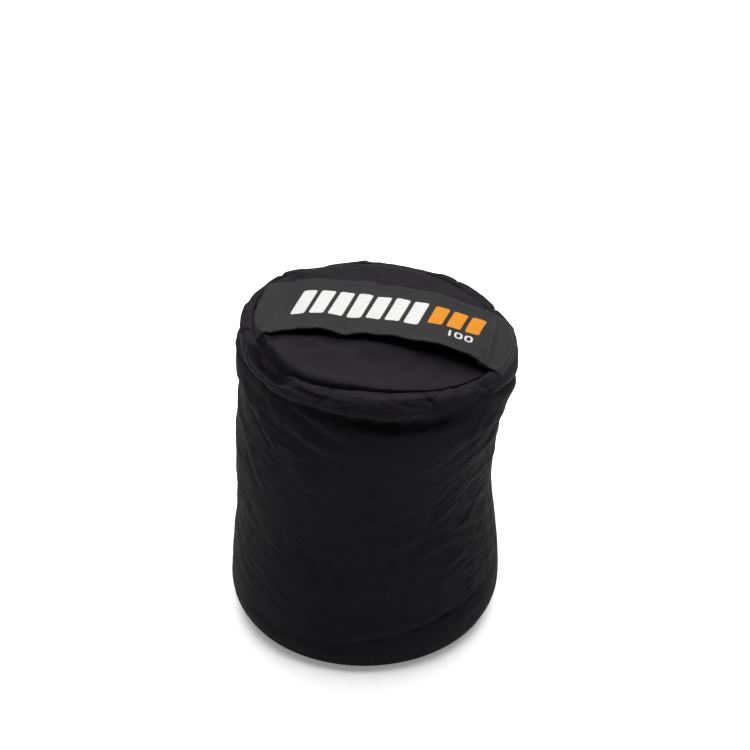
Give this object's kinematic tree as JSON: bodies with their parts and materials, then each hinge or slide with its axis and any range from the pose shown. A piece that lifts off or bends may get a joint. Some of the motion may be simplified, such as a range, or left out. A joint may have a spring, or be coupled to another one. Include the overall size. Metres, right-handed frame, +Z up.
{
  "type": "sandbag trainer",
  "caption": "Round sand-filled cloth training bag with a puffed rolled rim, a domed lid closed by a zip, and a wide grip band across it that a hand goes under.",
  "frame": {"origin": "middle of the base panel's flat underside, on the floor", "axes": "+Z up through the bag; +X along the grip band, towards the lid's low side; -Y towards the front"},
  "size_m": [0.4407, 0.4265, 0.5357],
  "materials": {
    "nylon": "black woven nylon, matt",
    "band_cloth": "black woven nylon, folded double and hemmed",
    "webbing": "black woven tape",
    "film": "heavy clear film",
    "sand": "loose dry sand",
    "moulded": "black moulded zip teeth",
    "metal": "satin grey die-cast metal"
  },
  "bodies": {
    "bag": {"base_panel": "nylon", "base_seam_binding": "webbing", "body_wall": "nylon", "back_seam": "nylon", "rim_roll": "nylon", "lid_front": "nylon", "lid_rear": "nylon", "lid_seam_binding": "webbing", "zip_tape_front": "webbing", "zip_tape_rear": "webbing", "zip_teeth_front": "moulded", "zip_teeth_rear": "moulded", "zip_end_left": "webbing", "zip_end_right": "webbing", "band_end_left": "band_cloth", "band_end_right": "band_cloth", "liner_bag": "film", "neck_tie": "webbing", "sand_fill": "sand"},
    "slider": {"zip_slider": "metal"},
    "pull": {"zip_pull": "metal"},
    "band_left": {"band_left": "band_cloth"},
    "band_middle": {"band_middle": "band_cloth"},
    "band_right": {"band_right": "band_cloth"}
  },
  "joints": [
    {"name": "band_lift", "type": "hinge", "parent": "bag", "child": "band_left", "pos_m": [-0.12537, 0.004, 0.51936], "axis": [0, -1, 0], "range_deg": [0, 14]},
    {"name": "band_bend_left", "type": "hinge", "parent": "band_left", "child": "band_middle", "pos_m": [-0.02562, 0.004, 0.53246], "axis": [0, -1, 0], "range_deg": [-14.1, 0.1]},
    {"name": "band_bend_right", "type": "hinge", "parent": "band_middle", "child": "band_right", "pos_m": [0.07421, 0.004, 0.52595], "axis": [0, -1, 0], "range_deg": [-10.8, 0.1]},
    {"name": "zip_run", "type": "hinge", "parent": "bag", "child": "slider", "pos_m": [-0.06183, 0.004, -0.36525], "axis": [0, 1, 0], "range_deg": [0, 15]},
    {"name": "pull_flip", "type": "hinge", "parent": "slider", "child": "pull", "pos_m": [-0.09906, 0.004, 0.52014], "axis": [0, -1, 0], "range_deg": [0, 7]}
  ],
  "couplings": [
    {"joint": "band_bend_left", "follows": "band_lift", "ratio": -1},
    {"joint": "band_bend_right", "follows": "band_lift", "ratio": -0.76}
  ]
}
